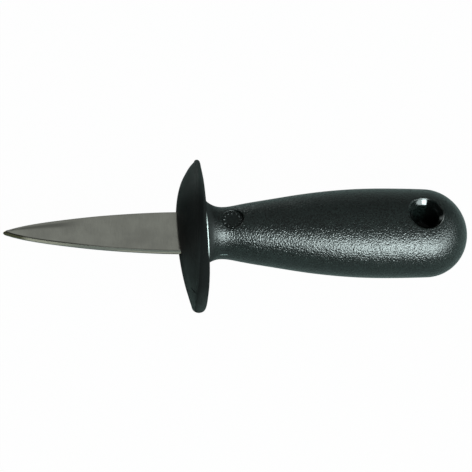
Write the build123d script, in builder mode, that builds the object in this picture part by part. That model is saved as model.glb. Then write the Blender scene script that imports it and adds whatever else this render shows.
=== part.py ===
from build123d import *
import math
import os

os.makedirs("parts", exist_ok=True)

# An oyster knife lying on its side. X runs along it from the tip, on -X, to the
# butt, on +X. Z is square to the flat of the blade and Y is across its width.
# The origin is the centre of the hanging hole. All sizes are in millimetres.

# Blade: a flat lancet of even thickness, with a narrow tang behind it
blade_reach = 60.4
blade_width = 17.0
blade_thick = 2.4
blade_seat_depth = 4.0
edge_bevel_width = 0.5
edge_bevel_depth = 0.45
tip_grind_length = 5.0
tang_width = 9.0
tang_length = 58.0
tang_corner = 1.5
tang_hole_d = 4.0
tang_hole_pitch = 16.0
tang_hole_setback = 8.0
tang_hole_count = 2

# Guard: an oval disc, domed in front, with a flat seat for the handle behind
guard_width = 59.0
guard_thick = 34.2
guard_dome = 6.1
guard_band = 0.5
guard_rear_rise = 2.2
guard_rear_round = 8.2
guard_drop = 1.0

# Handle: a round neck that flares to the guard and swells to an oval palm
handle_length = 92.8
neck_d = 18.1
flare_radius = 8.0
flare_length = 6.25
palm_width = 33.4
palm_thick = 26.4
butt_length = 15.2

# Hanging hole through the palm
hang_hole_d = 8.7
hang_hole_setback = 16.4
hang_mouth_width = 2.1
hang_mouth_depth = 2.2

# Round recess in the neck, with a ring of raised ticks on its floor
recess_d = 7.8
recess_setback = 9.2
recess_floor_height = 8.3
tick_count = 12
tick_length = 1.1
tick_width = 0.6
tick_height = 0.3
tick_edge_gap = 0.4

# Fits and working values
moulding_gap = 0.05
overrun = 5.0
flare_steps = 4
butt_steps = 7
butt_last_angle = 86.0

# Places along the knife, worked out from the hanging hole
end_x = hang_hole_setback
seat_x = end_x - handle_length
band_rear_x = seat_x - guard_rear_rise
band_front_x = band_rear_x - guard_band
dome_x = band_front_x - guard_dome
tip_x = dome_x - blade_reach
shoulder_x = dome_x + blade_seat_depth
tang_end_x = shoulder_x + tang_length
tang_hole_xs = [
    tang_end_x - tang_hole_setback - step * tang_hole_pitch
    for step in range(tang_hole_count)
]

# Blade outline from the tip, as shares of its reach and of its half width
outline_shares = [
    (0.008, 0.045),
    (0.038, 0.145),
    (0.153, 0.370),
    (0.325, 0.586),
    (0.552, 0.798),
    (0.782, 0.936),
    (0.920, 0.987),
]

# Guard's dome from its rim to its axis, as shares of its half width and of its rise
dome_shares = [
    (1.0, 0),
    (0.975, 0.085),
    (0.92, 0.236),
    (0.82, 0.446),
    (0.68, 0.693),
    (0.50, 0.875),
    (0.25, 0.980),
    (0, 1.0),
]

# Handle swell from neck to palm, as shares of the grip's length and of the rise
swell_shares = [
    (0.082, 0.115),
    (0.239, 0.399),
    (0.398, 0.672),
    (0.555, 0.875),
    (0.713, 0.985),
    (0.836, 1.0),
    (1.0, 0.965),
]


def blade_outline(nose_x, half_width, height):
    """Return the lancet outline at one height, from its nose to the shoulder."""
    with BuildSketch(Plane.XY.offset(height)) as outline:
        with BuildLine():
            reach = dome_x - nose_x
            profile = [(nose_x, 0)]
            for along_share, width_share in outline_shares:
                profile.append((nose_x + reach * along_share, half_width * width_share))
            profile.append((dome_x, half_width))
            Spline(*profile)
            Line((dome_x, half_width), (shoulder_x, half_width))
            Line((shoulder_x, half_width), (shoulder_x, 0))
            mirror(about=Plane.XZ)
        make_face()
    return outline.sketch


# Blade and tang in one flat piece, with holes that the handle flows through
with BuildPart() as blade:
    half_blade = blade_width / 2
    half_thick = blade_thick / 2
    core_height = half_thick - edge_bevel_depth
    extrude(blade_outline(tip_x, half_blade, 0), amount=core_height, both=True)
    face_half = half_blade - edge_bevel_width
    for side in (1, -1):
        edge_outline = blade_outline(tip_x, half_blade, side * core_height)
        face_outline = blade_outline(tip_x + tip_grind_length, face_half, side * half_thick)
        loft([edge_outline, face_outline], ruled=True)
    with BuildSketch(Plane.XY) as tang:
        with Locations((shoulder_x, 0)):
            Rectangle(tang_length, tang_width, align=(Align.MIN, Align.CENTER))
        fillet(tang.vertices().group_by(Axis.X)[-1], radius=tang_corner)
    extrude(amount=half_thick, both=True)
    with BuildSketch(Plane.XY):
        with Locations(*[(x, 0) for x in tang_hole_xs]):
            Circle(tang_hole_d / 2)
    extrude(amount=half_thick, both=True, mode=Mode.SUBTRACT)
blade.part.label = "blade"
export_step(blade.part, "parts/blade.step")


# Guard: a dome and a flat rear turned about the axis, then flattened to an oval
with BuildPart() as guard:
    half_guard = guard_width / 2
    with BuildSketch(Plane.XY):
        with BuildLine():
            profile = [
                (band_front_x - guard_dome * rise_share, half_guard * out_share - guard_drop)
                for out_share, rise_share in dome_shares
            ]
            front = Spline(*profile)
            rear = EllipticalCenterArc(
                (band_rear_x, half_guard - guard_rear_round - guard_drop),
                guard_rear_rise,
                guard_rear_round,
                0,
                arc_size=90,
            )
            Line(rear @ 1, front @ 0)
            Line(rear @ 0, (seat_x, -guard_drop))
            Line((seat_x, -guard_drop), front @ 1)
        make_face()
    revolve(axis=Axis((dome_x, -guard_drop), (1, 0)))
    scale(by=(1, 1, guard_thick / guard_width))
    with BuildSketch(Plane.YZ.offset(dome_x - overrun)):
        Rectangle(blade_width + 2 * moulding_gap, blade_thick + 2 * moulding_gap)
    extrude(amount=overrun + blade_seat_depth + moulding_gap, mode=Mode.SUBTRACT)
    with BuildSketch(Plane.YZ.offset(shoulder_x)):
        Rectangle(tang_width + 2 * moulding_gap, blade_thick + 2 * moulding_gap)
    extrude(amount=seat_x - shoulder_x + overrun, mode=Mode.SUBTRACT)
guard.part.label = "guard"
export_step(guard.part, "parts/guard.step")


# Handle sections along X: place, half width and half thickness
sections = []
neck_half = neck_d / 2
palm_half = palm_width / 2
oval_ratio = palm_thick / palm_width
for step in range(flare_steps + 1):
    left = flare_length * (1 - step / flare_steps)
    flare_half = neck_half + flare_radius - math.sqrt(flare_radius**2 - left**2)
    sections.append((seat_x + flare_length - left, flare_half, flare_half))
grip_start_x = seat_x + flare_length
grip_length = handle_length - flare_length - butt_length
for along_share, swell_share in swell_shares:
    grip_half = neck_half + (palm_half - neck_half) * swell_share
    oval = 1 - (1 - oval_ratio) * swell_share
    sections.append((grip_start_x + grip_length * along_share, grip_half, grip_half * oval))
butt_x, butt_half_width, butt_half_thick = sections[-1]
last_turn = math.radians(butt_last_angle)
for step in range(1, butt_steps + 1):
    turn = last_turn * step / butt_steps
    section_x = butt_x + butt_length * math.sin(turn) / math.sin(last_turn)
    narrowing = math.cos(turn)
    sections.append((section_x, butt_half_width * narrowing, butt_half_thick * narrowing))

# Handle: one moulding around the tang, with posts through the tang's holes
with BuildPart() as handle:
    for section_x, half_y, half_z in sections:
        with BuildSketch(Plane.YZ.offset(section_x)):
            Ellipse(half_y, half_z)
    loft()
    with BuildSketch(Plane.XY.offset(palm_thick)):
        Circle(hang_hole_d / 2)
    extrude(amount=-2 * palm_thick, mode=Mode.SUBTRACT)
    mouths = handle.edges(Select.LAST).filter_by(GeomType.LINE, reverse=True)
    chamfer(mouths, length=hang_mouth_width, length2=hang_mouth_depth)
    with BuildSketch(Plane.XY.offset(recess_floor_height)):
        with Locations((seat_x + recess_setback, 0)):
            Circle(recess_d / 2)
    extrude(amount=palm_thick, mode=Mode.SUBTRACT)
    with BuildSketch(Plane.XY.offset(recess_floor_height)):
        with Locations((seat_x + recess_setback, 0)):
            with PolarLocations(recess_d / 2 - tick_edge_gap - tick_length / 2, tick_count):
                Rectangle(tick_length, tick_width)
    extrude(amount=tick_height)
    with BuildSketch(Plane.YZ.offset(seat_x)):
        Rectangle(tang_width + 2 * moulding_gap, blade_thick + 2 * moulding_gap)
    extrude(amount=tang_end_x + moulding_gap - seat_x, mode=Mode.SUBTRACT)
    with BuildSketch(Plane.XY):
        with Locations(*[(x, 0) for x in tang_hole_xs]):
            Circle(tang_hole_d / 2 - moulding_gap)
    extrude(amount=blade_thick / 2 + moulding_gap, both=True)
handle.part.label = "handle"
export_step(handle.part, "parts/handle.step")
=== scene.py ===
"""An oyster knife lying on a pale table, seen from above and from its near side.

The knife lies along X with its blade's tip on -X, and Z is square to the flat of the
blade. Sizes in the classes are millimetres, and meshes are made in metres.
"""

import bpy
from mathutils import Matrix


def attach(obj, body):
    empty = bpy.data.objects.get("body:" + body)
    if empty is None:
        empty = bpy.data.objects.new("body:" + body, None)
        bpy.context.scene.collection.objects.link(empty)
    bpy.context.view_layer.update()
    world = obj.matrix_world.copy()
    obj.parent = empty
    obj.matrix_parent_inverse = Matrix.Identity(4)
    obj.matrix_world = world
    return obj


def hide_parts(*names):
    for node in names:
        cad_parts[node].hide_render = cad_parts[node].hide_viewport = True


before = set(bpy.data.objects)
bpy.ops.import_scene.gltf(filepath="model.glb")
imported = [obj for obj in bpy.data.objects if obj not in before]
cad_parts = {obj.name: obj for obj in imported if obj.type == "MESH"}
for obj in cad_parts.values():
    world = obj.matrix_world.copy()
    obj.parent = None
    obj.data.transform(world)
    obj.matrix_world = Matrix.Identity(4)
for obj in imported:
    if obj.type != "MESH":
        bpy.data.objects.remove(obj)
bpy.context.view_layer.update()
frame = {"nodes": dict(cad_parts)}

import logging
import math
from dataclasses import dataclass, replace
from enum import Enum
from typing import Any

import bmesh
import bpy
import numpy as np
from mathutils import Matrix, Vector

MM = 0.001
BODY = "root"
Colour = tuple[float, float, float, float]
Span = tuple[float, float]
log = logging.getLogger("oyster_knife")


class Face(Enum):
    """The two broad faces of the knife, by the sign of Z."""

    UPPER = 1
    UNDER = -1


class Slot(Enum):
    """The record's material slots."""

    BLADE = "blade_steel"
    GUARD = "guard_plastic"
    HANDLE = "handle_plastic"


# Numbers and curves


def smooth_step(low: float, high: float, value: np.ndarray) -> np.ndarray:
    """Rise from 0 at low to 1 at high along 3t^2 - 2t^3.

    Args:
        low: Where the rise starts.
        high: Where it ends.
        value: The values to read it at.

    Returns:
        The rise at each value.
    """
    share = np.clip((value - low) / (high - low), 0.0, 1.0)
    return share * share * (3 - 2 * share)


class Curve:
    """A natural cubic spline through points, read by its chord length."""

    def __init__(self, points: np.ndarray) -> None:
        """Solve the spline's second derivatives.

        Args:
            points: One row for each point.
        """
        steps = np.linalg.norm(np.diff(points, axis=0), axis=1)
        self.knots = np.concatenate([[0.0], np.cumsum(steps)])
        self.points = points
        count = len(points)
        system = np.eye(count)
        right = np.zeros_like(points)
        inner = np.arange(1, count - 1)
        before, after = steps[:-1], steps[1:]
        system[inner, inner - 1] = before
        system[inner, inner] = 2 * (before + after)
        system[inner, inner + 1] = after
        slopes = np.diff(points, axis=0) / steps[:, None]
        right[inner] = 6 * (slopes[1:] - slopes[:-1])
        self.bends = np.linalg.solve(system, right)

    @property
    def length(self) -> float:
        """The whole chord length."""
        return float(self.knots[-1])

    def at(self, along: np.ndarray) -> np.ndarray:
        """Read the curve.

        In each span, with a and b the shares of the way to its two ends, a point is
        a p0 + b p1 + ((a^3 - a) m0 + (b^3 - b) m1) h^2 / 6.

        Args:
            along: Chord lengths from the start.

        Returns:
            One point for each chord length, in a last axis.
        """
        along = np.clip(np.asarray(along, float), 0.0, self.length)
        span = np.clip(np.searchsorted(self.knots, along) - 1, 0, len(self.knots) - 2)
        step = (self.knots[span + 1] - self.knots[span])[..., None]
        late = (along - self.knots[span])[..., None] / step
        early = 1 - late
        straight = early * self.points[span] + late * self.points[span + 1]
        first = (early**3 - early) * self.bends[span]
        second = (late**3 - late) * self.bends[span + 1]
        return straight + (first + second) * step**2 / 6


class Rise:
    """A smooth curve through a table of rising places, which never overshoots.

    Between two places it is a cubic whose slopes at them are the harmonic means of the
    slopes on each side.
    """

    def __init__(self, table: tuple[Span, ...]) -> None:
        """Work out the slopes.

        Args:
            table: Pairs of a place and its value.
        """
        self.places, self.values = np.array(table).T
        slopes = np.diff(self.values) / np.diff(self.places)
        before, after = slopes[:-1], slopes[1:]
        alike = before * after > 0
        total = np.where(alike, before + after, 1.0)
        inner = np.where(alike, 2 * before * after / total, 0.0)
        self.slopes = np.concatenate([[slopes[0]], inner, [slopes[-1]]])

    def at(self, place: np.ndarray) -> np.ndarray:
        """Read the curve.

        Args:
            place: Where to read it.

        Returns:
            Its value at each place.
        """
        span = np.clip(np.searchsorted(self.places, place) - 1, 0, len(self.places) - 2)
        step = self.places[span + 1] - self.places[span]
        share = (place - self.places[span]) / step
        rise = share * share * (3 - 2 * share)
        level = self.values[span] * (1 - rise) + self.values[span + 1] * rise
        first = self.slopes[span] * share * (1 - share) ** 2
        second = self.slopes[span + 1] * share * share * (1 - share)
        return level + (first - second) * step


class Surface:
    """Grids of points gathered into one welded and closed mesh."""

    def __init__(self) -> None:
        """Start with no points."""
        self.points: list[np.ndarray] = []
        self.quads: list[np.ndarray] = []
        self.tips: list[np.ndarray] = []
        self.count = 0

    def grid(self, points: np.ndarray, round_trip: bool = False, keep: np.ndarray | None = None) -> None:
        """Add a grid, with a quad in each of its cells.

        Args:
            points: An array of rows, columns and X, Y, Z, in millimetres.
            round_trip: Whether the last column joins the first.
            keep: Which cells get a quad, all of them by default.
        """
        rows, columns = points.shape[:2]
        index = np.arange(rows * columns).reshape(rows, columns) + self.count
        if round_trip:
            index = np.concatenate([index, index[:, :1]], axis=1)
        corners = [index[:-1, :-1], index[:-1, 1:], index[1:, 1:], index[1:, :-1]]
        cells = np.stack(corners, axis=-1)
        cells = cells.reshape(-1, 4) if keep is None else cells[keep]
        self.points.append(points.reshape(-1, 3))
        self.quads.append(cells)
        self.count += rows * columns

    def rings(self, rings: list[np.ndarray], closed: bool = False) -> None:
        """Add a skin over rings that have as many points each.

        Args:
            rings: Closed rings of points, in order.
            closed: Whether the last ring joins the first.
        """
        order = rings + rings[:1] if closed else rings
        self.grid(np.stack(order), round_trip=True)

    def cap(self, ring: np.ndarray, centre: np.ndarray) -> None:
        """Close a ring with triangles to one point.

        Args:
            ring: The ring's points.
            centre: The point that they meet in.
        """
        size = len(ring)
        index = np.arange(size) + self.count
        middle = np.full(size, self.count + size)
        self.points.append(np.vstack([ring, centre[None]]))
        self.tips.append(np.stack([index, np.roll(index, -1), middle], axis=-1))
        self.count += size + 1

    def piece(self, name: str, crease: float) -> bpy.types.Object:
        """Make the object, with shared points welded and faces turned outwards.

        Args:
            name: The object's name.
            crease: The angle, in degrees, from which an edge stays sharp.

        Returns:
            The object, in the scene.
        """
        points = np.vstack(self.points) * MM
        mesh = bpy.data.meshes.new(name)
        faces = [list(map(int, cell)) for block in self.quads + self.tips for cell in block]
        mesh.from_pydata(points.tolist(), [], faces)
        form = bmesh.new()
        form.from_mesh(mesh)
        bmesh.ops.remove_doubles(form, verts=form.verts, dist=2e-7)
        loose = [vert for vert in form.verts if not vert.link_faces]
        bmesh.ops.delete(form, geom=loose, context="VERTS")
        bmesh.ops.recalc_face_normals(form, faces=form.faces)
        open_edges = sum(1 for edge in form.edges if len(edge.link_faces) != 2)
        form.to_mesh(mesh)
        form.free()
        mesh.polygons.foreach_set("use_smooth", np.ones(len(mesh.polygons), bool))
        mesh.set_sharp_from_angle(angle=math.radians(crease))
        made = bpy.data.objects.new(name, mesh)
        bpy.context.scene.collection.objects.link(made)
        log.info("%s: %d faces, %d open edges", name, len(mesh.polygons), open_edges)
        return made


def oval(width: float, height: float, power: float, count: int) -> np.ndarray:
    """Points of |y/a|^p + |z/b|^p = 1 at even angles, a and b half the width and height.

    Args:
        width: The size along Y.
        height: The size along Z.
        power: The power p: 2 for an ellipse, and more for a squarer form.
        count: How many points.

    Returns:
        One row of Y and Z for each point.
    """
    angle = np.linspace(0, 2 * np.pi, count, endpoint=False)
    unit = np.stack([np.cos(angle), np.sin(angle)], axis=-1)
    scale = (np.abs(unit[:, 0]) ** power + np.abs(unit[:, 1]) ** power) ** (-1 / power)
    return unit * scale[:, None] * [width / 2, height / 2]


# Materials


class Link:
    """A socket's value that takes part in sums and products."""

    def __init__(self, nodes: "NodeBook", socket: bpy.types.NodeSocket) -> None:
        """Hold the socket and the book that makes more nodes."""
        self.nodes = nodes
        self.socket = socket

    def _math(self, operation: str, *values: Any) -> "Link":
        """Add a Math node for an operation on values."""
        inputs = dict(enumerate(values))
        return self.nodes.add("ShaderNodeMath", {"operation": operation}, inputs)[0]

    def __add__(self, other: Any) -> "Link":
        """Self plus other."""
        return self._math("ADD", self, other)

    __radd__ = __add__

    def __sub__(self, other: Any) -> "Link":
        """Self less other."""
        return self._math("SUBTRACT", self, other)

    def __rsub__(self, other: Any) -> "Link":
        """Other less self."""
        return self._math("SUBTRACT", other, self)

    def __mul__(self, other: Any) -> "Link":
        """Self times other."""
        return self._math("MULTIPLY", self, other)

    __rmul__ = __mul__

    def __truediv__(self, other: Any) -> "Link":
        """Self over other."""
        return self._math("DIVIDE", self, other)

    def __abs__(self) -> "Link":
        """The size of self, without its sign."""
        return self._math("ABSOLUTE", self)

    def root(self) -> "Link":
        """The square root."""
        return self._math("SQRT", self)

    def larger(self, other: Any) -> "Link":
        """The larger of two values."""
        return self._math("MAXIMUM", self, other)

    def rise(self, low: float, high: float) -> "Link":
        """A smooth rise from 0 at low to 1 at high."""
        settings = {"interpolation_type": "SMOOTHSTEP"}
        inputs = {"Value": self, "From Min": low, "From Max": high, "To Min": 0.0, "To Max": 1.0}
        return self.nodes.add("ShaderNodeMapRange", settings, inputs)[0]

    def past(self, span: Span) -> "Link":
        """A smooth rise from 0 to 1 across a span in millimetres."""
        return self.rise(span[0] * MM, span[1] * MM)


class NodeBook:
    """A node tree, with one method that adds nodes to it."""

    def __init__(self, tree: bpy.types.NodeTree) -> None:
        """Empty the tree.

        Args:
            tree: The material's or the world's node tree.
        """
        self.tree = tree
        tree.nodes.clear()

    def add(self, kind: str, settings: dict[str, Any], inputs: dict[int | str, Any]) -> list[Link]:
        """Add a node.

        Args:
            kind: The node's type.
            settings: Its properties, set before its sockets.
            inputs: Values or links, by the socket's number or name.

        Returns:
            The node's outputs that are in use.
        """
        node = self.tree.nodes.new(kind)
        for name, value in settings.items():
            setattr(node, name, value)
        for key, value in inputs.items():
            socket = node.inputs[key]
            if isinstance(value, Link):
                self.tree.links.new(value.socket, socket)
            else:
                socket.default_value = value
        return [Link(self, socket) for socket in node.outputs if socket.enabled]

    def place(self) -> tuple[Link, Link, Link, Link]:
        """The Object coordinates as one vector, and as X, Y and Z in metres."""
        where = self.add("ShaderNodeTexCoord", {}, {})[3]
        x, y, z = self.add("ShaderNodeSeparateXYZ", {}, {0: where})
        return where, x, y, z

    def stretched(self, where: Link, scale: tuple[float, float, float]) -> Link:
        """Coordinates scaled along each axis."""
        return self.add("ShaderNodeMapping", {}, {"Vector": where, "Scale": scale})[0]

    def noise(self, where: Link, scale: float, detail: float, rough: float) -> Link:
        """A noise value about 0.5.

        Args:
            where: Coordinates in metres.
            scale: How many of its features fit in a metre.
            detail: How many finer layers it has.
            rough: How strong these are.

        Returns:
            The noise's value.
        """
        inputs = {"Vector": where, "Scale": scale, "Detail": detail, "Roughness": rough}
        return self.add("ShaderNodeTexNoise", {}, inputs)[0]

    def cells(self, where: Link, scale: float) -> Link:
        """The distance to the nearest of scattered points, which gives round pits."""
        settings = {"feature": "SMOOTH_F1"}
        inputs = {"Vector": where, "Scale": scale, "Smoothness": 0.6}
        return self.add("ShaderNodeTexVoronoi", settings, inputs)[0]

    def blend(self, share: Any, first: Any, second: Any) -> Link:
        """A colour between two colours."""
        settings = {"data_type": "RGBA"}
        inputs = {0: share, 6: first, 7: second}
        return self.add("ShaderNodeMix", settings, inputs)[0]

    def bump(self, height: Link) -> Link:
        """A normal tilted by a height in metres."""
        inputs = {"Strength": 1.0, "Distance": 1.0, "Height": height}
        return self.add("ShaderNodeBump", {}, inputs)[0]

    def surface(self, inputs: dict[int | str, Any], pit: Link | None = None) -> None:
        """Add the surface shader and the output.

        Args:
            inputs: The shader's inputs.
            pit: Where the surface is a black pit instead, if anywhere.
        """
        shader = self.add("ShaderNodeBsdfPrincipled", {}, inputs)[0]
        if pit is not None:
            black = self.add("ShaderNodeBsdfDiffuse", {}, {"Color": (0.001, 0.001, 0.001, 1.0)})[0]
            shader = self.add("ShaderNodeMixShader", {}, {0: pit, 1: shader, 2: black})[0]
        self.add("ShaderNodeOutputMaterial", {}, {"Surface": shader})


def new_material(name: str) -> tuple[bpy.types.Material, NodeBook]:
    """Make an empty node material.

    Args:
        name: The material's name.

    Returns:
        The material and the book of its nodes.
    """
    material = bpy.data.materials.new(name)
    material.use_nodes = True
    return material, NodeBook(material.node_tree)


@dataclass(frozen=True)
class SatinSteel:
    """Flat ground stainless steel with fine strokes across the blade.

    The near edge has a painted dark line along its upper corner and painted shade
    underneath. Between them its wall has painted shade by the tip, a painted bright
    reflection behind that, and a plainer painted reflection from there on. By the tip
    the face has painted shade along its far edge. Spans are distances behind the tip,
    unless they are named for Y or Z, or for the edge's corner and wall, where they are
    heights over its flank.
    """

    tip_x: float
    edge_height: float
    bevel_depth: float
    crown: float
    crown_length: float
    # The face's stroke tones, then painted colours: painted shade on the far edge and under the near edge,
    # the near edge's painted dark corner line, its painted bright reflection, its plainer painted
    # reflection and its painted shade by the tip.
    dark: Colour = (0.55, 0.50, 0.455, 1.0)
    light: Colour = (0.71, 0.65, 0.585, 1.0)
    dim: Colour = (0.36, 0.33, 0.30, 1.0)
    painted_shade: Colour = (0.07, 0.06, 0.05, 1.0)
    painted_line: Colour = (0.20, 0.18, 0.16, 1.0)
    painted_wall_glint: Colour = (0.78, 0.60, 0.50, 1.0)
    plain: Colour = (0.40, 0.335, 0.305, 1.0)
    painted_tip_shade: Colour = (0.15, 0.12, 0.07, 1.0)
    roughness: float = 0.16
    stroke_height: float = 1.2e-6
    stroke_scale: float = 5200.0
    stroke_stretch: float = 0.06
    cloud_scale: float = 160.0
    painted_tip_shade_end: Span = (5.5, 9.0)
    bright_end: Span = (13.0, 30.0)
    shine_start: Span = (34.0, 44.0)
    line_fade: Span = (20.0, 40.0)
    dim_start: Span = (3.5, 7.0)
    dim_end: Span = (18.0, 28.0)
    shine_z: Span = (0.2, 0.5)
    painted_shade_z: Span = (-0.2, 0.0)
    far_y: Span = (0.0, 0.3)
    near_y: Span = (0.3, 0.6)
    corner_rise: Span = (-0.12, -0.04)
    wall_rise: Span = (-0.1, 0.0)

    def make(self) -> bpy.types.Material:
        """Build the material: strokes run along Y, so their noise is drawn out along it."""
        material, nodes = new_material("satin_steel")
        where, x, y, z = nodes.place()
        drawn = nodes.stretched(where, (1.0, self.stroke_stretch, 1.0))
        strokes = nodes.noise(drawn, self.stroke_scale, 3.0, 0.6)
        clouds = nodes.noise(where, self.cloud_scale, 3.0, 0.55)
        shade = strokes * 0.35 + clouds * 0.65
        ground = nodes.blend(shade.rise(0.3, 0.7), self.dark, self.light)
        # Painted shade along the face's far edge by the tip.
        face = nodes.blend(self._painted_far_shade(x, y, z), ground, self.dim)
        corner, wall = self._edge(x, y, z)
        # The near edge's wall is painted: painted shade by the tip, a painted bright reflection behind it,
        # a plainer painted reflection further on, painted shade underneath and a painted dark line along
        # its corner.
        warm = nodes.blend(self._behind_tip(x, self.painted_tip_shade_end), self.painted_tip_shade, self.painted_wall_glint)
        plain = nodes.blend(self._behind_tip(x, self.bright_end), warm, self.plain)
        painted_shine = self._behind_tip(x, self.shine_start) * (1 - z.past(self.shine_z))
        upper = nodes.blend(painted_shine, plain, self.painted_wall_glint)
        walled = nodes.blend(wall, face, nodes.blend(z.past(self.painted_shade_z), self.painted_shade, upper))
        painted_line = nodes.blend(self._behind_tip(x, self.painted_tip_shade_end), self.painted_shade, self.painted_line)
        faint = 1 - self._behind_tip(x, self.line_fade) * 0.5
        nodes.surface(
            {
                "Base Color": nodes.blend(corner * faint, walled, painted_line),
                "Metallic": 1.0,
                "Roughness": clouds * 0.08 + strokes * 0.05 + (self.roughness - 0.065),
                "Normal": nodes.bump(strokes * self.stroke_height),
            }
        )
        return material

    def _behind_tip(self, x: Link, span: Span) -> Link:
        """A rise across a span of distances behind the tip."""
        return x.past((self.tip_x + span[0], self.tip_x + span[1]))

    def _painted_far_shade(self, x: Link, y: Link, z: Link) -> Link:
        """One half way out to the far edge where the face has painted shade, by the share of the crown
        that the face falls.
        """
        least = 1.0e-6
        crown = (1 - self._behind_tip(x, (0.0, self.crown_length))) * (self.crown * MM) + least
        share = ((self.edge_height + self.bevel_depth) * MM - abs(z)) / crown
        across = share.rise(0.02, 0.3) * (1 - share.rise(0.5, 0.85))
        along = self._behind_tip(x, self.dim_start) * (1 - self._behind_tip(x, self.dim_end))
        return across * along * y.past(self.far_y)

    def _edge(self, x: Link, y: Link, z: Link) -> tuple[Link, Link]:
        """One over the near edge's painted dark corner line, and one over its wall of painted reflection
        and painted shade.
        """
        crown = self._behind_tip(x, (0.0, self.crown_length)) * (self.crown * MM)
        over = abs(z) - crown - (self.edge_height - self.crown) * MM
        near = 1 - y.past(self.near_y)
        inner = 1 - over.past((self.bevel_depth * 0.7, self.bevel_depth * 0.95))
        corner = over.past(self.corner_rise) * inner
        return corner * near, (1 - over.past(self.wall_rise)) * near


@dataclass(frozen=True)
class SmoothPlastic:
    """Black moulded plastic with a fine satin skin, as on the guard.

    It has painted light towards the ends of the front and over its under half, painted
    shade across its middle, and is rougher on the rim's nose. The rear corner by the neck
    has a painted highlight on the upper face, and the lower front has a short nick. Spans
    are places along the axis that they are named for, and the rim leans in X along Y.
    """

    lean: float = 0.0733
    nose_x: Span = (-79.4, -78.4)
    front_end_x: Span = (-78.4, -77.4)
    # Spans of the painted light on the front's ends and its under half.
    far_pale_y: Span = (0.0, 16.0)
    near_pale_y: Span = (-26.0, -9.0)
    end_pale_y: Span = (-30.0, -27.0)
    under_pale_z: Span = (-2.0, 11.0)
    painted_shade_middle_y: float = -1.0
    # Where the painted shade across the front's middle lies.
    painted_shade_reach: Span = (3.0, 15.0)
    # Where the painted highlight along the rear corner lies.
    corner_x: float = -76.72
    corner_half: float = 0.27
    corner_start_y: Span = (-8.0, 0.0)
    corner_stop_y: Span = (-18.5, -14.0)
    corner_z: Span = (2.0, 4.0)
    nick_x: Span = (-80.5, -80.0)
    nick_y: float = -26.2
    nick_z: float = 3.65
    nick_slope: float = -0.7
    nick_half_length: float = 3.0
    nick_half_width: float = 0.55
    dark: Colour = (0.0008, 0.0012, 0.0011, 1.0)
    light: Colour = (0.0290, 0.0360, 0.0340, 1.0)
    # Colour of the painted highlight along the rear corner.
    painted_rim_highlight: Colour = (0.80, 0.86, 0.84, 1.0)
    roughness: float = 0.6
    specular: float = 0.16
    cloud_scale: float = 110.0
    skin_scale: float = 1500.0
    skin_height: float = 8.0e-6
    nick_depth: float = 8.0e-5

    def make(self) -> bpy.types.Material:
        """Build the material: faint flow clouds under painted light, a fine skin, the corner's painted
        highlight, painted shade across the middle, and the nick.
        """
        material, nodes = new_material("smooth_plastic")
        where, x, y, z = nodes.place()
        clouds = nodes.noise(where, self.cloud_scale, 4.0, 0.6)
        skin = nodes.noise(where, self.skin_scale, 1.0, 0.5)
        nick = self._nick(x, y, z)
        upright = x - y * self.lean
        nose = upright.past(self.nose_x)
        # Painted light: paler towards the ends of the front and over the under half.
        end = (1 - y.past(self.end_pale_y)) * 0.35
        painted_light = y.past(self.far_pale_y) + (1 - y.past(self.near_pale_y)) * (1 - nose).larger(end)
        under = 1.5 - z.past(self.under_pale_z)
        plain = nodes.blend((clouds * 2.2 - 0.4) * painted_light * under, self.dark, self.light)
        # Painted highlight along the rear corner by the neck.
        rim_highlight = self._painted_rim_line(x, y, z) * (skin * 0.8 + 0.5)
        front = 1 - upright.past(self.front_end_x)
        # Painted shade: a black pit across the middle of the front.
        painted_shade = front * (1 - abs(y - self.painted_shade_middle_y * MM).past(self.painted_shade_reach)) * 0.45
        nodes.surface(
            {
                "Base Color": nodes.blend(rim_highlight, plain, self.painted_rim_highlight),
                "Roughness": clouds * 0.12 + skin * 0.06 + nose * 0.32 + (self.roughness - 0.09),
                "Specular IOR Level": self.specular,
                "Normal": nodes.bump(skin * self.skin_height - nick * self.nick_depth),
            },
            pit=painted_shade.larger(nick * 0.9),
        )
        return material

    def _painted_rim_line(self, x: Link, y: Link, z: Link) -> Link:
        """One on the painted highlight along the rear corner where it passes the neck, fading out along Y.
        """
        aside = abs(x - self.corner_x * MM)
        painted_line = 1 - aside.past((self.corner_half * 0.5, self.corner_half))
        start = 1 - y.past(self.corner_start_y)
        return painted_line * start * y.past(self.corner_stop_y) * z.past(self.corner_z)

    def _nick(self, x: Link, y: Link, z: Link) -> Link:
        """One in the nick and 0 elsewhere."""
        aside = y - self.nick_y * MM
        along = abs(aside).past((self.nick_half_length * 0.4, self.nick_half_length))
        across = abs(z - self.nick_z * MM - aside * self.nick_slope)
        thin = across.past((0.0, self.nick_half_width))
        return (1 - along) * (1 - thin) * (1 - x.past(self.nick_x))


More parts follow.
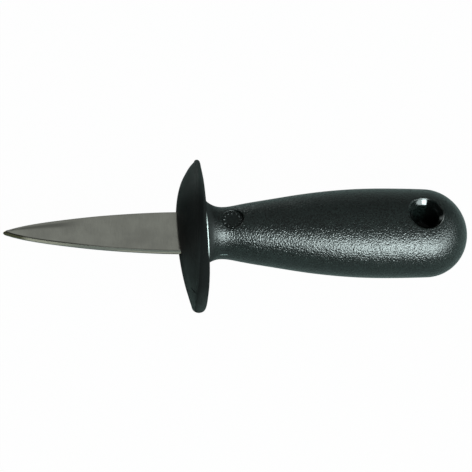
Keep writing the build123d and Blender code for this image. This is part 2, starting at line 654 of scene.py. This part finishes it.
@dataclass(frozen=True)
class GrainedPlastic:
    """Charcoal plastic whose outer skin has a pitted grain.

    The grain stops short of the guard, and inside the hanging hole and the recess. The
    hole's flare is smooth. The neck is rougher, and its front by the guard, the recess and
    the near side and the butt's side of the flare have painted shade. A short length of the
    near seam has a painted glint. Spans are places along the axis that they are named
    for, and those of edges are distances outside an opening.
    """

    recess_x: float
    recess_radius: float
    mouth_radius: float
    grain_start_x: float
    dark: Colour = (0.0001, 0.0003, 0.0002, 1.0)
    light: Colour = (0.0050, 0.0074, 0.0068, 1.0)
    # Colour of the painted glint on the near seam.
    painted_seam_glint: Colour = (0.26, 0.32, 0.31, 1.0)
    roughness: float = 0.29
    specular: float = 0.52
    pit_scale: float = 1900.0
    grit_scale: float = 2000.0
    cloud_scale: float = 90.0
    grain_height: float = 1.55e-4
    grain_fade: float = 1.2
    collar_length: float = 4.0
    neck_length: float = 11.0
    seam_half: float = 0.16
    seam_height: float = 3.0e-5
    seam_glint_x: Span = (-71.4, -68.4)
    near_y: Span = (-2.0, 0.0)
    shade_x: Span = (0.5, 1.5)
    shade_y: Span = (-1.0, 1.0)
    shade_z: Span = (0.0, 1.0)
    recess_z: Span = (0.0, 0.5)
    flare_edge: Span = (-0.5, -0.25)
    grain_edge: Span = (-0.1, 0.15)
    recess_edge: Span = (0.0, 0.25)

    def make(self) -> bpy.types.Material:
        """Build the material from a mask of the grained skin, and pits of two sizes."""
        material, nodes = new_material("grained_plastic")
        where, x, y, z = nodes.place()
        behind = self._behind_guard(x, self.grain_fade)
        flare, sunk, outside = self._openings(x, y, z)
        skin = behind * outside
        pits = nodes.cells(where, self.pit_scale)
        grit = nodes.noise(where, self.grit_scale, 1.0, 0.5)
        clouds = nodes.noise(where, self.cloud_scale, 3.0, 0.5)
        height = skin * (pits * 0.35 + grit) * self.grain_height
        seam = 1 - abs(z).past((0.0, self.seam_half))
        plain = nodes.blend((clouds * 0.2 + grit * 0.8).rise(0.35, 0.65), self.dark, self.light)
        neck = 1 - self._behind_guard(x, self.neck_length)
        rough = grit * 0.08 + (1 - behind) * 0.22 + neck * 0.07 + (self.roughness - 0.04)
        # Painted shade by the guard's collar.
        collar_shade = 1 - self._behind_guard(x, self.collar_length)
        # Painted shade on the flare's near side and its butt's side.
        sides = (1 - y.past(self.shade_y)).larger(x.past(self.shade_x))
        shade = flare * sides * z.past(self.shade_z)
        nodes.surface(
            {
                # Painted glint on the near seam by the neck.
                "Base Color": nodes.blend(self._seam_glint_mask(x, y) * seam, plain, self.painted_seam_glint),
                "Roughness": rough - flare * 0.15,
                "Specular IOR Level": self.specular,
                "Normal": nodes.bump(height + seam * self.seam_height),
            },
            # Painted shade as a black pit: by the collar, in the recess, and on the flare's near and butt
            # sides.
            pit=(collar_shade * 0.35).larger(sunk * 0.25).larger(shade * 0.75),
        )
        return material

    def _behind_guard(self, x: Link, length: float) -> Link:
        """A rise from where the grain starts, over a length."""
        return x.past((self.grain_start_x, self.grain_start_x + length))

    def _seam_glint_mask(self, x: Link, y: Link) -> Link:
        """One over the short length of the near seam that has a painted glint."""
        low, high = self.seam_glint_x
        middle, half = (low + high) / 2 * MM, (high - low) / 2 * MM
        along = 1 - abs(x - middle).rise(half * 0.7, half)
        return along * (1 - y.past(self.near_y))

    def _openings(self, x: Link, y: Link, z: Link) -> tuple[Link, Link, Link]:
        """One on the hole's flare, one in the recess, and one outside them and the hole."""
        mouth = (x * x + y * y).root() - self.mouth_radius * MM
        aside = x - self.recess_x * MM
        recess = (aside * aside + y * y).root() - self.recess_radius * MM
        sunk = z.past(self.recess_z) * (1 - recess.past(self.recess_edge))
        return 1 - mouth.past(self.flare_edge), sunk, mouth.past(self.grain_edge) * (1 - sunk)


# The knife's pieces


@dataclass
class Blade:
    """A flat lancet with ground edges, and the tang behind it."""

    tip_x: float = -145.6
    root_x: float = -85.2
    shoulder_x: float = -81.2
    tang_end_x: float = -23.2
    width: float = 17.0
    thick: float = 2.4
    tang_width: float = 9.0
    bevel_width: float = 0.46
    bevel_depth: float = 0.15
    edge_apex: float = 0.38
    crown: float = 0.1
    crown_length: float = 34.0
    nose_length: float = 1.3
    nose_steps: tuple[float, ...] = (0.02, 0.06, 0.14, 0.26, 0.42, 0.62)
    step_span: Span = (0.9, 62.0)
    step_count: int = 150
    outline_shares: tuple[Span, ...] = (
        (0.0, 0.0),
        (0.008, 0.045),
        (0.038, 0.145),
        (0.153, 0.370),
        (0.325, 0.586),
        (0.552, 0.798),
        (0.782, 0.936),
        (0.920, 0.987),
        (1.0, 1.0),
    )

    def build(self) -> bpy.types.Object:
        """Make the blade with its tang, in place of the CAD piece."""
        surface = Surface()
        along = np.concatenate([self.nose_steps, np.linspace(*self.step_span, self.step_count)])
        reach = self.root_x - self.tip_x
        outline = Curve(np.array(self.outline_shares) * [reach, self.width / 2])
        lancet = outline.at(outline.length * along / along[-1])
        rings = [self._section(x + self.tip_x, half) for x, half in lancet]
        rings.append(self._section(self.shoulder_x, self.width / 2))
        rings.append(self._section(self.shoulder_x, self.tang_width / 2))
        rings.append(self._section(self.tang_end_x, self.tang_width / 2))
        surface.rings(rings)
        surface.cap(rings[0], np.array([self.tip_x, 0.0, 0.0]))
        surface.cap(rings[-1], np.array([self.tang_end_x, 0.0, 0.0]))
        blade = surface.piece("blade_visual", crease=8.0)
        finish = SatinSteel(
            tip_x=self.tip_x,
            edge_height=self.thick / 2 - self.bevel_depth,
            bevel_depth=self.bevel_depth,
            crown=self.crown,
            crown_length=self.crown_length,
        )
        blade.data.materials.append(finish.make())
        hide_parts("blade")
        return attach(blade, BODY)

    def _section(self, x: float, half: float) -> np.ndarray:
        """One cross-section of the blade.

        The face is at half the thickness, less a crown that falls with the square of
        the way out. A shallow bevel cuts it, and a steep one meets its fellow from the
        other face in the edge. In the nose the heights shrink by sqrt(1 - s^2), where s
        runs from 1 at the tip to 0.

        Args:
            x: The section's place.
            half: Its half width.

        Returns:
            A closed ring of points.
        """
        crown = self.crown * (1 - float(smooth_step(0.0, self.crown_length, np.float64(x - self.tip_x))))
        apex = min(self.edge_apex, half * 0.4)
        wide = min(self.bevel_width, half - apex)
        top = self.thick / 2
        edge = top - crown - self.bevel_depth
        across = np.linspace(-1, 1, 13)
        inner = across * (half - apex - wide)
        highest = edge + crown + wide * self.bevel_depth / self.bevel_width
        face = min(top, highest) - crown * across**2
        sides = np.array([half - apex, half, half - apex])
        heights = np.array([edge, 0.0, -edge])
        y = np.concatenate([inner, sides, inner[::-1], -sides])
        z = np.concatenate([face, heights, -face[::-1], heights[::-1]])
        left = max(0.0, 1 - (x - self.tip_x) / self.nose_length)
        z = z * math.sqrt(1 - left**2)
        return np.stack([np.full_like(y, x), y, z], axis=-1)


@dataclass
class Guard:
    """An oval disc, domed in front and flat behind, around a slot that the blade fills.

    The front leans against the rear, so that the near end of the rim is thick and blunt
    and the far end is thin.
    """

    width: float = 58.68
    thick: float = 32.26
    squareness: float = 2.28
    drop: float = 0.98
    rim_x: float = -78.15
    lean: float = 2.15
    far_shift: float = 1.25
    near_shift: float = 0.87
    dome_lean: float = 0.47
    least_thick: float = 1.0
    nose_share: float = 0.048
    nose_lean: float = -0.02
    slot_width: float = 17.1
    slot_thick: float = 2.5
    slot_squareness: float = 14.0
    tang_slot_width: float = 9.1
    shoulder_x: float = -81.15
    seat_x: float = -76.4
    points_round: int = 288
    front_rise: tuple[Span, ...] = (
        (0.0, 7.01),
        (0.15, 6.99),
        (0.30, 6.90),
        (0.50, 6.30),
        (0.68, 5.22),
        (0.82, 3.82),
        (0.92, 2.56),
        (1.0, 1.14),
    )
    rear_rise: tuple[Span, ...] = (
        (0.0, 2.2),
        (0.74, 2.06),
        (0.86, 1.31),
        (0.95, 0.46),
        (1.0, 0.0),
    )

    def build(self) -> bpy.types.Object:
        """Make the guard as one closed band of rings, in place of the CAD piece."""
        rings = self._front() + self._rim() + self._rear() + self._slot()
        surface = Surface()
        surface.rings(rings, closed=True)
        guard = surface.piece("guard_visual", crease=30.0)
        guard.data.materials.append(SmoothPlastic().make())
        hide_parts("guard")
        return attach(guard, BODY)

    def _oval(self, share: float) -> np.ndarray:
        """The rim's outline, shrunk to a share around its centre."""
        whole = oval(self.width, self.thick, self.squareness, self.points_round)
        return whole * share - [self.drop, 0.0]

    def _inner_rim(self) -> np.ndarray:
        """The outline where the rim's nose begins, further in on the near side."""
        outer = self._oval(1.0)
        share = 1 - self.nose_share - self.nose_lean * self._side(outer)[:, None]
        return (outer + [self.drop, 0.0]) * share - [self.drop, 0.0]

    def _slot_edge(self, width: float) -> np.ndarray:
        """A slot's outline, a rounded rectangle."""
        return oval(width, self.slot_thick, self.slot_squareness, self.points_round)

    def _side(self, flat: np.ndarray) -> np.ndarray:
        """The way across the oval, from -1 on the near side to 1 on the far one."""
        return (flat[:, 0] + self.drop) / (self.width / 2)

    @staticmethod
    def _at(x: np.ndarray | float, flat: np.ndarray) -> np.ndarray:
        """Points of the YZ plane placed at x."""
        return np.column_stack([np.broadcast_to(x, len(flat)), flat])

    def _far(self, flat: np.ndarray) -> np.ndarray:
        """The share of the way from the oval's centre to its rim."""
        half = np.array([self.width / 2, self.thick / 2])
        share = np.abs(flat + [self.drop, 0.0]) / half
        return np.clip((share**self.squareness).sum(axis=1) ** (1 / self.squareness), 0.0, 1.0)

    def _front_x(self, flat: np.ndarray) -> np.ndarray:
        """The front's X: the rim's, plus m s, less the rise (1 + k s), s the way across."""
        side = self._side(flat)
        rise = Rise(self.front_rise).at(self._far(flat)) * (1 + self.dome_lean * side)
        front = self.rim_x + self.lean * side - rise
        return np.minimum(front, self._rear_x(flat) - self.least_thick)

    def _rear_x(self, flat: np.ndarray) -> np.ndarray:
        """The rear's X: the rim's plus the rise, up to the seat."""
        side = self._side(flat)
        shift = self.far_shift * np.clip(side, 0, 1) + self.near_shift * np.clip(-side, 0, 1)
        rise = Rise(self.rear_rise).at(self._far(flat)) * (1 - shift / self.rear_rise[0][1])
        return np.minimum(self.rim_x + shift + rise, self.seat_x)

    def _front(self) -> list[np.ndarray]:
        """The dome, from the slot's edge out to the rim."""
        rings = []
        for step in np.linspace(0, 1, 72):
            share = math.sin(step * math.pi / 2)
            flat = self._slot_edge(self.slot_width) * (1 - share) + self._inner_rim() * share
            rings.append(self._at(self._front_x(flat), flat))
        return rings

    def _rim(self) -> list[np.ndarray]:
        """The round nose of the rim, half an ellipse between its front and its rear."""
        inner, outer = self._inner_rim(), self._oval(1.0)
        front, rear = self._front_x(inner), self._rear_x(inner)
        rings = []
        for turn in np.linspace(0, math.pi, 19)[1:-1]:
            flat = inner + (outer - inner) * math.sin(turn)
            rings.append(self._at(front + (rear - front) * (1 - math.cos(turn)) / 2, flat))
        return rings

    def _rear(self) -> list[np.ndarray]:
        """The rear, rounded in from the rim to its flat seat."""
        rings = []
        for step in np.linspace(0, 1, 40):
            share = math.cos(step * math.pi / 2)
            flat = self._inner_rim() * share + self._slot_edge(self.tang_slot_width) * (1 - share)
            rings.append(self._at(self._rear_x(flat), flat))
        return rings

    def _slot(self) -> list[np.ndarray]:
        """The slot's walls, from the seat forwards to the dome."""
        tang = self._slot_edge(self.tang_slot_width)
        full = self._slot_edge(self.slot_width)
        return [self._at(self.shoulder_x, tang), self._at(self.shoulder_x, full)]


@dataclass(frozen=True)
class Patch:
    """A square patch of the handle's grid around a circular opening.

    Its half size is a number of cells, of which the inner ones are left open.
    """

    first_row: int
    middle_column: int
    cells: int
    inner: int
    centre_x: float
    radius: float
    face: Face


@dataclass
class Handle:
    """A grained moulding: a flared round neck, an oval palm, a hole and a recess.

    The rows of its grid are counted in five stretches, and the second and the fourth
    hold the patches round the recess and the hole.
    """

    seat_x: float = -76.4
    end_x: float = 16.4
    neck: float = 18.1
    flare_radius: float = 8.0
    flare_length: float = 6.25
    palm_width: float = 33.4
    palm_thick: float = 26.4
    butt_length: float = 15.2
    hole_radius: float = 4.35
    mouth_width: float = 2.1
    mouth_depth: float = 2.2
    mouth_edge: tuple[Span, ...] = ((0.0, 0.0), (0.10, 0.03), (0.19, 0.09), (0.26, 0.18))
    flare_shares: tuple[Span, ...] = (
        (0.3, 0.25),
        (0.45, 0.38),
        (0.6, 0.51),
        (0.75, 0.64),
        (0.86, 0.75),
        (0.95, 0.89),
        (1.0, 1.06),
    )
    recess_x: float = -67.2
    recess_radius: float = 3.9
    recess_floor: float = 8.3
    recess_foot: float = 3.78
    recess_edge: tuple[Span, ...] = ((0.04, 0.015), (0.08, 0.05), (0.11, 0.11))
    recess_fillet: tuple[Span, ...] = ((0.0, 0.22), (0.02, 0.12), (0.08, 0.04), (0.18, 0.0))
    tick_count: int = 12
    tick_length: float = 1.1
    tick_width: float = 0.6
    tick_height: float = 0.3
    tick_edge_gap: float = 0.4
    tick_sink: float = 0.02
    tick_foot: float = 0.1
    grain_start_x: float = -74.4
    recess_patch_x: Span = (-72.4, -60.6)
    hole_patch_x: Span = (-11.4, 11.2)
    columns: int = 180
    rows: tuple[int, ...] = (13, 44, 75, 48, 33)
    recess_inner: int = 11
    hole_inner: int = 13
    swell_shares: tuple[Span, ...] = (
        (0.0, 0.0),
        (0.082, 0.115),
        (0.239, 0.399),
        (0.398, 0.672),
        (0.555, 0.875),
        (0.713, 0.985),
        (0.836, 1.0),
        (1.0, 0.965),
    )

    def __post_init__(self) -> None:
        """Trace the profile once, and a table that finds a place on it by X."""
        self.profile = Curve(self._profile_points())
        self.table_along = np.linspace(0, self.profile.length, 4001)
        self.table_x = np.maximum.accumulate(self.profile.at(self.table_along)[:, 0])

    @property
    def mouth_radius(self) -> float:
        """The radius of the hole's flared mouth."""
        return self.hole_radius + self.mouth_width

    def _profile_points(self) -> np.ndarray:
        """Places with half width and half thickness: flare arc, swell and butt ellipse."""
        neck_half = self.neck / 2
        palm_half = self.palm_width / 2
        left = self.flare_length * (1 - np.linspace(0, 1, 9))
        flare = neck_half + self.flare_radius - np.sqrt(self.flare_radius**2 - left**2)
        first = np.stack([self.seat_x + self.flare_length - left, flare, flare], axis=-1)
        shares = np.array(self.swell_shares)[1:]
        grip = self.end_x - self.seat_x - self.flare_length - self.butt_length
        x = self.seat_x + self.flare_length + grip * shares[:, 0]
        half = neck_half + (palm_half - neck_half) * shares[:, 1]
        flatness = 1 - (1 - self.palm_thick / self.palm_width) * shares[:, 1]
        second = np.stack([x, half, half * flatness], axis=-1)
        turn = np.linspace(0, np.pi / 2, 15)[1:]
        last_x = second[-1, 0] + self.butt_length * np.sin(turn)
        third = np.stack([last_x, second[-1, 1] * np.cos(turn), second[-1, 2] * np.cos(turn)], axis=-1)
        return np.vstack([first, second, third])

    def _along(self, x: float | np.ndarray) -> float | np.ndarray:
        """The chord length at which the profile reaches X."""
        return np.interp(x, self.table_x, self.table_along)

    def _skin(self, along: np.ndarray, angle: np.ndarray) -> np.ndarray:
        """Points of the skin: (x, w cos a, t sin a)."""
        place = self.profile.at(along)
        y = place[..., 1] * np.cos(angle)
        z = place[..., 2] * np.sin(angle)
        return np.stack([place[..., 0], y, z], axis=-1)

    def _lift(self, x: np.ndarray, y: np.ndarray, face: Face) -> np.ndarray:
        """Points of the skin over given X and Y: z = t sqrt(1 - (y / w)^2)."""
        place = self.profile.at(self._along(x))
        inside = np.clip(1 - (y / np.maximum(place[..., 1], 1e-6)) ** 2, 0.0, 1.0)
        return np.stack([x, y, face.value * place[..., 2] * np.sqrt(inside)], axis=-1)

    def build(self) -> bpy.types.Object:
        """Make the handle, in place of the CAD piece."""
        surface = Surface()
        stops = self._along(np.array([*self.recess_patch_x, *self.hole_patch_x]))
        stops = [0.0, *stops, self.profile.length]
        stretches = [
            np.linspace(start, stop, count, endpoint=False)
            for start, stop, count in zip(stops, stops[1:], self.rows)
        ]
        along = np.concatenate(stretches)
        angle = np.linspace(0, 2 * np.pi, self.columns, endpoint=False)
        skin = self._skin(*np.meshgrid(along, angle, indexing="ij"))
        keep = np.ones((len(along) - 1, self.columns), bool)
        quarter = self.columns // 4
        dent = Patch(
            first_row=self.rows[0],
            middle_column=quarter,
            cells=self.rows[1] // 2,
            inner=self.recess_inner,
            centre_x=self.recess_x,
            radius=self.recess_radius,
            face=Face.UPPER,
        )
        mouth = replace(
            dent,
            first_row=sum(self.rows[:3]),
            cells=self.rows[3] // 2,
            inner=self.hole_inner,
            centre_x=0.0,
            radius=self.mouth_radius,
        )
        beneath = replace(mouth, middle_column=3 * quarter, face=Face.UNDER)
        recess, upper, under = (self._open(skin, keep, patch) for patch in (dent, mouth, beneath))
        surface.grid(skin, round_trip=True, keep=keep)
        surface.cap(skin[0], np.array([self.seat_x, 0.0, 0.0]))
        surface.cap(skin[-1], np.array([self.end_x, 0.0, 0.0]))
        self._hole(surface, upper, under)
        self._recess(surface, recess)
        self._ticks(surface)
        handle = surface.piece("handle_visual", crease=34.0)
        finish = GrainedPlastic(self.recess_x, self.recess_radius, self.mouth_radius, self.grain_start_x)
        handle.data.materials.append(finish.make())
        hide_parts("handle")
        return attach(handle, BODY)

    def _open(self, skin: np.ndarray, keep: np.ndarray, patch: Patch) -> np.ndarray:
        """Ease a square patch of the skin's grid round a circular opening.

        A point's square distance q is the larger of its two index distances from the
        patch's middle, over the patch's half size. Its place runs from the circle, at
        the inner q, to the patch's border, at q = 1, along one ray.

        Args:
            skin: The grid of points, changed in place.
            keep: Which cells stay, changed in place.
            patch: The patch and its opening.

        Returns:
            The ring of points on the opening's edge.
        """
        cells, inner = patch.cells, patch.inner
        rows = np.arange(patch.first_row, patch.first_row + 2 * cells + 1)
        columns = np.arange(patch.middle_column - cells, patch.middle_column + cells + 1)
        across = (np.arange(2 * cells + 1) - cells) / cells
        a, b = np.meshgrid(across, across, indexing="ij")
        square = np.maximum(np.maximum(np.abs(a), np.abs(b)), 1e-9)
        old = skin[np.ix_(rows, columns)]
        border = self._border(old, a / square, b / square, cells)
        turn = np.arctan2(border[..., 1], border[..., 0] - patch.centre_x)
        rim = patch.radius * np.stack([np.cos(turn), np.sin(turn)], axis=-1) + [patch.centre_x, 0.0]
        share = np.clip((square - inner / cells) / (1 - inner / cells), 0.0, 1.0)[..., None]
        flat = rim * (1 - share) + border[..., :2] * share
        moved = self._lift(flat[..., 0], flat[..., 1], patch.face)
        on_border = square > 1 - 1e-6
        moved[on_border] = old[on_border]
        skin[np.ix_(rows, columns)] = moved
        low, high = cells - inner, cells + inner
        keep[rows[low] : rows[high], columns[low] : columns[high]] = False
        ring = [
            moved[low, low:high],
            moved[low:high, high],
            moved[high, high:low:-1],
            moved[high:low:-1, low],
        ]
        return np.concatenate(ring)

    @staticmethod
    def _border(grid: np.ndarray, a: np.ndarray, b: np.ndarray, cells: int) -> np.ndarray:
        """The patch's border point on each ray, between its nearest grid points."""
        row, column = (a + 1) * cells, (b + 1) * cells
        row_low = np.clip(np.floor(row + 1e-9).astype(int), 0, 2 * cells - 1)
        column_low = np.clip(np.floor(column + 1e-9).astype(int), 0, 2 * cells - 1)
        row_share = (row - row_low)[..., None]
        column_share = (column - column_low)[..., None]
        near = grid[row_low, column_low] * (1 - column_share)
        near = near + grid[row_low, column_low + 1] * column_share
        far = grid[row_low + 1, column_low] * (1 - column_share)
        far = far + grid[row_low + 1, column_low + 1] * column_share
        return near * (1 - row_share) + far * row_share

    def _hole(self, surface: Surface, upper: np.ndarray, under: np.ndarray) -> None:
        """Line the hanging hole: a rounded edge, a flared mouth and the bore.

        The flare steepens before it meets the bore.

        Args:
            surface: The surface that the walls are added to.
            upper: The ring of the upper mouth.
            under: The ring of the under mouth.
        """
        rings: list[np.ndarray] = []
        cone = [(self.mouth_width * inward, self.mouth_depth * deep) for inward, deep in self.flare_shares]
        for ring, face in ((upper, Face.UPPER), (under, Face.UNDER)):
            flat = ring[:, :2] / np.linalg.norm(ring[:, :2], axis=1)[:, None]
            walls = []
            for inward, deep in [*self.mouth_edge, *cone]:
                radius = self.mouth_radius - inward
                z = ring[:, 2] - face.value * deep
                walls.append(np.column_stack([flat * radius, z]))
            walls[0] = ring
            rings.extend(walls if face is Face.UPPER else self._matched(walls, rings[-1])[::-1])
        surface.rings(rings)

    @staticmethod
    def _matched(walls: list[np.ndarray], target: np.ndarray) -> list[np.ndarray]:
        """Reorder rings so that their points stand under those of another ring."""
        angle = np.arctan2(walls[-1][:, 1], walls[-1][:, 0])
        wanted = np.arctan2(target[:, 1], target[:, 0])
        gap = np.abs(np.angle(np.exp(1j * (wanted[:, None] - angle[None, :]))))
        order = gap.argmin(axis=1)
        return [wall[order] for wall in walls]

    def _recess(self, surface: Surface, ring: np.ndarray) -> None:
        """Line the round recess: a rounded edge, its wall and its flat floor."""
        centre = np.array([self.recess_x, 0.0])
        flat = (ring[:, :2] - centre) / self.recess_radius
        rings = [ring]
        for inward, deep in self.recess_edge:
            spot = centre + flat * (self.recess_radius - inward)
            rings.append(np.column_stack([spot, ring[:, 2] - deep]))
        for inward, lift in self.recess_fillet:
            spot = centre + flat * (self.recess_foot - inward)
            rings.append(np.column_stack([spot, np.full(len(ring), self.recess_floor + lift)]))
        for share in (0.7, 0.35):
            spot = centre + flat * self.recess_foot * share
            rings.append(np.column_stack([spot, np.full(len(ring), self.recess_floor)]))
        surface.rings(rings)
        surface.cap(rings[-1], np.array([*centre, self.recess_floor]))

    def _ticks(self, surface: Surface) -> None:
        """Raise a ring of plain ticks on the recess's floor.

        A tick's height is h (1 - u^2)(1 - v^2) over its length u and width v, on a
        foot that stands in the floor.

        Args:
            surface: The surface that the ticks are added to.
        """
        u, v = np.meshgrid(np.linspace(-1, 1, 11), np.linspace(-1, 1, 7), indexing="ij")
        lift = self.tick_height * (1 - u**2) * (1 - v**2)
        middle = self.recess_radius - self.tick_edge_gap - self.tick_length / 2
        radial = middle + u * self.tick_length / 2
        aside = v * self.tick_width / 2
        for turn in 2 * np.pi * np.arange(self.tick_count) / self.tick_count:
            x = self.recess_x + radial * np.cos(turn) - aside * np.sin(turn)
            y = radial * np.sin(turn) + aside * np.cos(turn)
            top = np.stack([x, y, self.recess_floor + lift - self.tick_sink], axis=-1)
            foot = np.stack([x, y, np.full_like(x, self.recess_floor - self.tick_foot)], axis=-1)
            surface.grid(top)
            surface.grid(foot)
            surface.rings([self._edge(top), self._edge(foot)])

    @staticmethod
    def _edge(grid: np.ndarray) -> np.ndarray:
        """The closed ring of a grid's border points."""
        parts = [grid[0, :-1], grid[:-1, -1], grid[-1, :0:-1], grid[:0:-1, 0]]
        return np.concatenate(parts)


# Table, lamps and camera


@dataclass
class Studio:
    """The pale table under the knife, the lamps and the light of the room.

    The room's parts have a level each, and spans in the direction that a ray takes.
    """

    rim_x: float = -78.2
    rim_z: float = -16.14
    table_half: float = 20.0
    table_tint: Colour = (0.20, 0.24, 0.23, 1.0)
    air_tint: Colour = (0.88, 1.0, 0.97, 1.0)
    show: float = 0.985
    mirror_show: float = 0.03
    table_gap: float = 0.03
    dim: float = 0.02
    over: float = 0.27
    right: float = 0.06
    behind: float = 0.28
    corner: float = 7.0
    left: float = 1.2
    over_way: Span = (0.62, 0.98)
    right_x: Span = (0.45, 1.0)
    low_z: Span = (0.25, 0.55)
    behind_y: Span = (0.60, 0.95)
    corner_x: Span = (-0.40, -0.10)
    corner_y: Span = (0.60, 0.85)
    corner_z: Span = (0.10, 0.45)
    left_x: Span = (-0.98, -0.80)
    left_y: Span = (-0.10, 0.35)

    def build(self, handle: Handle) -> None:
        """Lay the table under the guard and the butt, and set the lamps.

        Args:
            handle: The handle, whose underside the table touches.
        """
        self._table(handle)
        self._room()
        for lamp in LAMPS:
            lamp.build()

    def _table(self, handle: Handle) -> None:
        """A wide plane that touches the guard's rim and the handle's underside."""
        place = handle.profile.at(np.linspace(0, handle.profile.length, 800))
        behind = place[place[:, 0] > self.rim_x + 10]
        rise = ((-behind[:, 2] - self.rim_z) / (behind[:, 0] - self.rim_x)).min()
        slope = math.atan(float(rise))
        half = self.table_half
        mesh = bpy.data.meshes.new("table")
        corners = [(-half, -half, 0), (half, -half, 0), (half, half, 0), (-half, half, 0)]
        mesh.from_pydata(corners, [], [(0, 1, 2, 3)])
        table = bpy.data.objects.new("table", mesh)
        bpy.context.scene.collection.objects.link(table)
        table.location = (self.rim_x * MM, 0.0, (self.rim_z - self.table_gap) * MM)
        table.rotation_euler = (0.0, -slope, 0.0)
        table.data.materials.append(self._table_finish())
        log.info("table slopes by %.2f degrees", math.degrees(slope))

    def _table_finish(self) -> bpy.types.Material:
        """White to the eye and dim in reflections, with the knife's shadow kept in it."""
        material, nodes = new_material("pale_table")
        matt = nodes.add("ShaderNodeBsdfDiffuse", {}, {"Color": self.table_tint})[0]
        glow = nodes.add("ShaderNodeEmission", {}, {"Color": (1.0, 1.0, 1.0, 1.0), "Strength": 1.0})[0]
        ray = nodes.add("ShaderNodeLightPath", {}, {})
        seen = (ray[0] * self.show).larger(ray[3].larger(ray[6]) * self.mirror_show)
        mixed = nodes.add("ShaderNodeMixShader", {}, {0: seen, 1: matt, 2: glow})[0]
        clear = nodes.add("ShaderNodeBsdfTransparent", {}, {})[0]
        back = nodes.add("ShaderNodeNewGeometry", {}, {})[6]
        both = nodes.add("ShaderNodeMixShader", {}, {0: back, 1: mixed, 2: clear})[0]
        nodes.add("ShaderNodeOutputMaterial", {}, {"Surface": both})
        return material

    def _room(self) -> None:
        """White to the eye, and to the knife a dim room with brighter parts."""
        world = bpy.data.worlds.new("room")
        bpy.context.scene.world = world
        world.use_nodes = True
        nodes = NodeBook(world.node_tree)
        way = nodes.add("ShaderNodeTexCoord", {}, {})[0]
        x, y, z = nodes.add("ShaderNodeSeparateXYZ", {}, {0: way})
        over = (z * 0.97 + y * 0.25).rise(*self.over_way)
        right = x.rise(*self.right_x)
        low = 1 - z.rise(*self.low_z)
        behind = y.rise(*self.behind_y) * low
        aside = (1 - x.rise(*self.corner_x)) * (1 - z.rise(*self.corner_z))
        corner = y.rise(*self.corner_y) * aside
        left = (1 - x.rise(*self.left_x)) * (1 - y.rise(*self.left_y)) * low
        sides = right * self.right + behind * self.behind + corner * self.corner + left * self.left
        level = self.dim + over * self.over + sides
        ray = nodes.add("ShaderNodeLightPath", {}, {})
        seen = ray[0].larger(ray[6])
        strength = level * (1 - seen) + seen
        tint = nodes.blend(seen, self.air_tint, (1.0, 1.0, 1.0, 1.0))
        light = nodes.add("ShaderNodeBackground", {}, {"Color": tint, "Strength": strength})[0]
        nodes.add("ShaderNodeOutputWorld", {}, {"Surface": light})


@dataclass(frozen=True)
class Lamp:
    """A rectangular soft lamp that faces the knife, given by its direction and glow."""

    name: str
    turn: float
    height: float
    distance: float
    size: tuple[float, float]
    glow: float
    colour: tuple[float, float, float] = (0.85, 1.0, 0.99)
    aim_x: float = -50.0

    def build(self) -> None:
        """Place the lamp and give it the power of its glow: P = pi L w h."""
        data = bpy.data.lights.new(self.name, "AREA")
        data.shape = "RECTANGLE"
        data.size, data.size_y = self.size
        data.color = self.colour
        data.energy = math.pi * self.glow * self.size[0] * self.size[1]
        turn, height = math.radians(self.turn), math.radians(self.height)
        flat = math.cos(height)
        out = Vector((math.sin(turn) * flat, -math.cos(turn) * flat, math.sin(height)))
        lamp = bpy.data.objects.new(self.name, data)
        lamp.location = Vector((self.aim_x * MM, 0.0, 0.0)) + out * self.distance
        lamp.rotation_euler = out.to_track_quat("Z", "Y").to_euler()
        lamp.visible_camera = False
        bpy.context.scene.collection.objects.link(lamp)
        log.info("lamp %s", self.name)


LAMPS = (
    Lamp("front_window", turn=18.0, height=40.0, distance=1.1, size=(0.62, 0.42), glow=30.0),
    Lamp("side_window", turn=60.0, height=32.5, distance=1.1, size=(0.80, 0.42), glow=9.5),
    Lamp("right_window", turn=104.0, height=28.0, distance=1.2, size=(0.36, 0.20), glow=3.0),
)


@dataclass
class Viewpoint:
    """The photograph's view: down on the knife, tipped to its near side."""

    turn: float = 9.0
    tilt: float = 34.0
    distance: float = 900.0
    frame: float = 163.7
    aim_x: float = -65.04
    aim_drop: float = 0.99
    sensor: float = 36.0

    def build(self) -> None:
        """Set the camera so that the knife's axis lies level in the frame."""
        turn, tilt = math.radians(self.turn), math.radians(self.tilt)
        flat = math.cos(tilt)
        look = Vector((math.sin(turn) * flat, math.sin(tilt), -math.cos(turn) * flat))
        right = (Vector((1, 0, 0)) - look.x * look).normalized()
        up = right.cross(look)
        aim = Vector((self.aim_x, 0.0, 0.0)) - up * self.aim_drop
        data = bpy.data.cameras.new("camera")
        data.sensor_width = self.sensor
        data.lens = self.sensor * self.distance / self.frame
        data.clip_end = 60.0
        camera = bpy.data.objects.new("camera", data)
        turned = Matrix((right, up, -look)).transposed().to_4x4()
        camera.matrix_world = Matrix.Translation((aim - look * self.distance) * MM) @ turned
        bpy.context.scene.collection.objects.link(camera)
        bpy.context.scene.camera = camera


def main() -> None:
    """Build the knife, its table and lamps, and the camera."""
    logging.basicConfig(level=logging.INFO, format="%(name)s: %(message)s")
    bpy.context.scene.view_settings.view_transform = "Standard"
    handle = Handle()
    for part in (Blade(), Guard(), handle):
        made = part.build()
        log.info("built %s", made.name)
    Studio().build(handle)
    Viewpoint().build()


if __name__ == "__main__":
    main()
